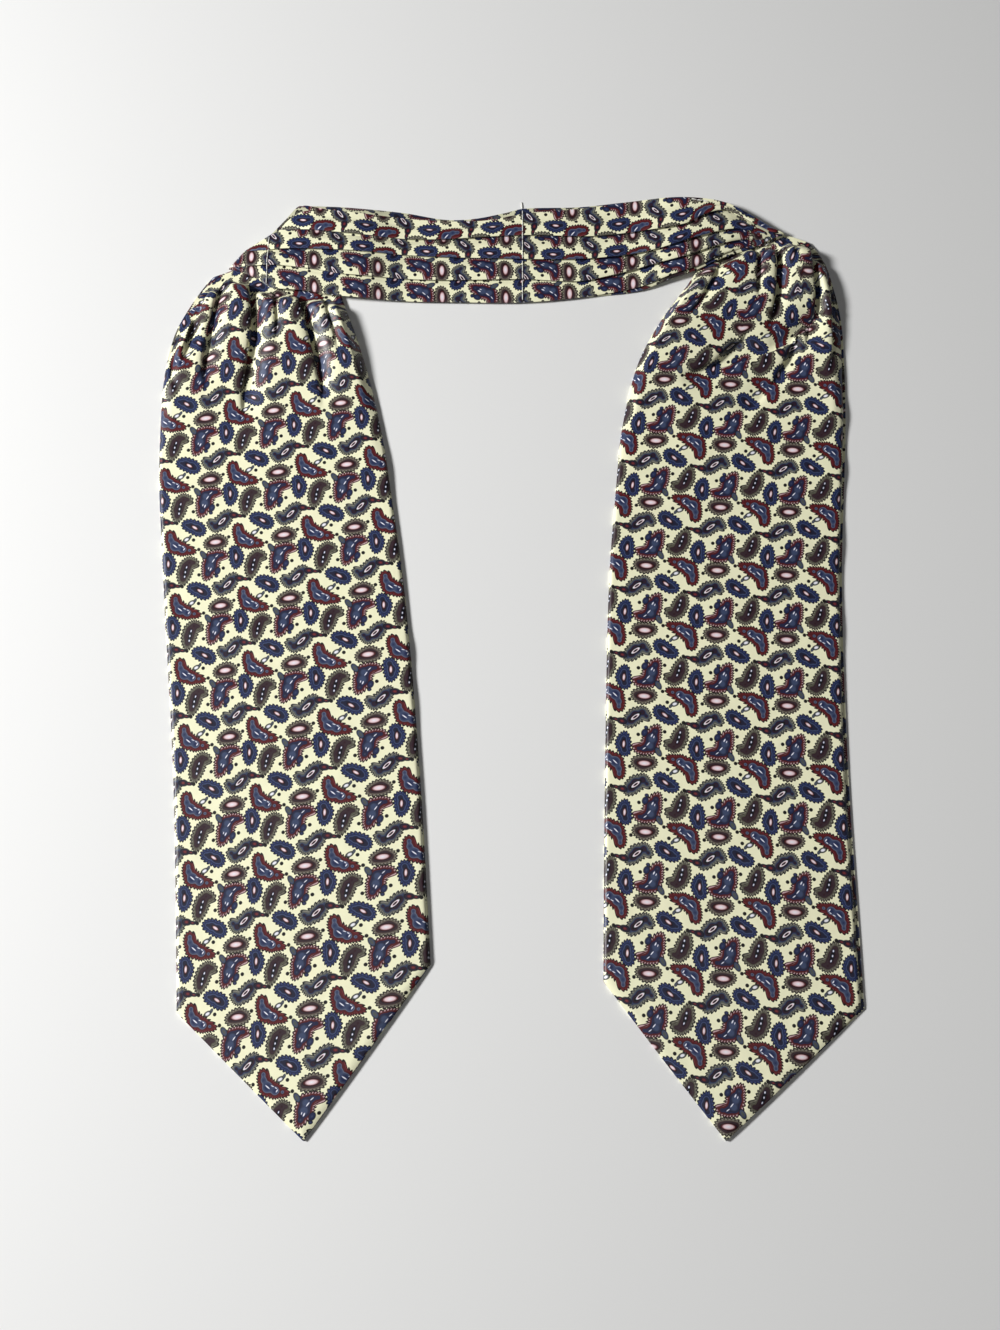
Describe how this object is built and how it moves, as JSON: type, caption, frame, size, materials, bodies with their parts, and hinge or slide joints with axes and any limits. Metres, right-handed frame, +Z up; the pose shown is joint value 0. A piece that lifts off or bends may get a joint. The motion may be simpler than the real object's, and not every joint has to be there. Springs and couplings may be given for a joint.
{
  "type": "silk cravat",
  "caption": "Silk day cravat laid flat in a U, with a pleated neckband across the top and two wide gathered blades with V points.",
  "frame": {"origin": "centre of the laid-out cravat's box, on the surface it lies on", "axes": "+Y from the V points towards the neckband, +X to the right seen from above, +Z up from the surface"},
  "size_m": [0.4072, 0.5532, 0.0109],
  "materials": {
    "printed_silk": "soft satin sheen, small all-over paisley print in navy, maroon, grey and pink on cream",
    "printed_silk_back": "the same printed silk, on the underside of the tube",
    "tack_thread": "white sewing thread of the tack stitches"
  },
  "bodies": {
    "root": {"blade_left_back": "printed_silk_back", "blade_left_front": "printed_silk", "blade_right_back": "printed_silk_back", "blade_right_front": "printed_silk", "neckband_back": "printed_silk_back", "neckband_pleat_1": "printed_silk", "neckband_pleat_2": "printed_silk", "neckband_pleat_3": "printed_silk", "neckband_pleat_4": "printed_silk"}
  },
  "joints": []
}
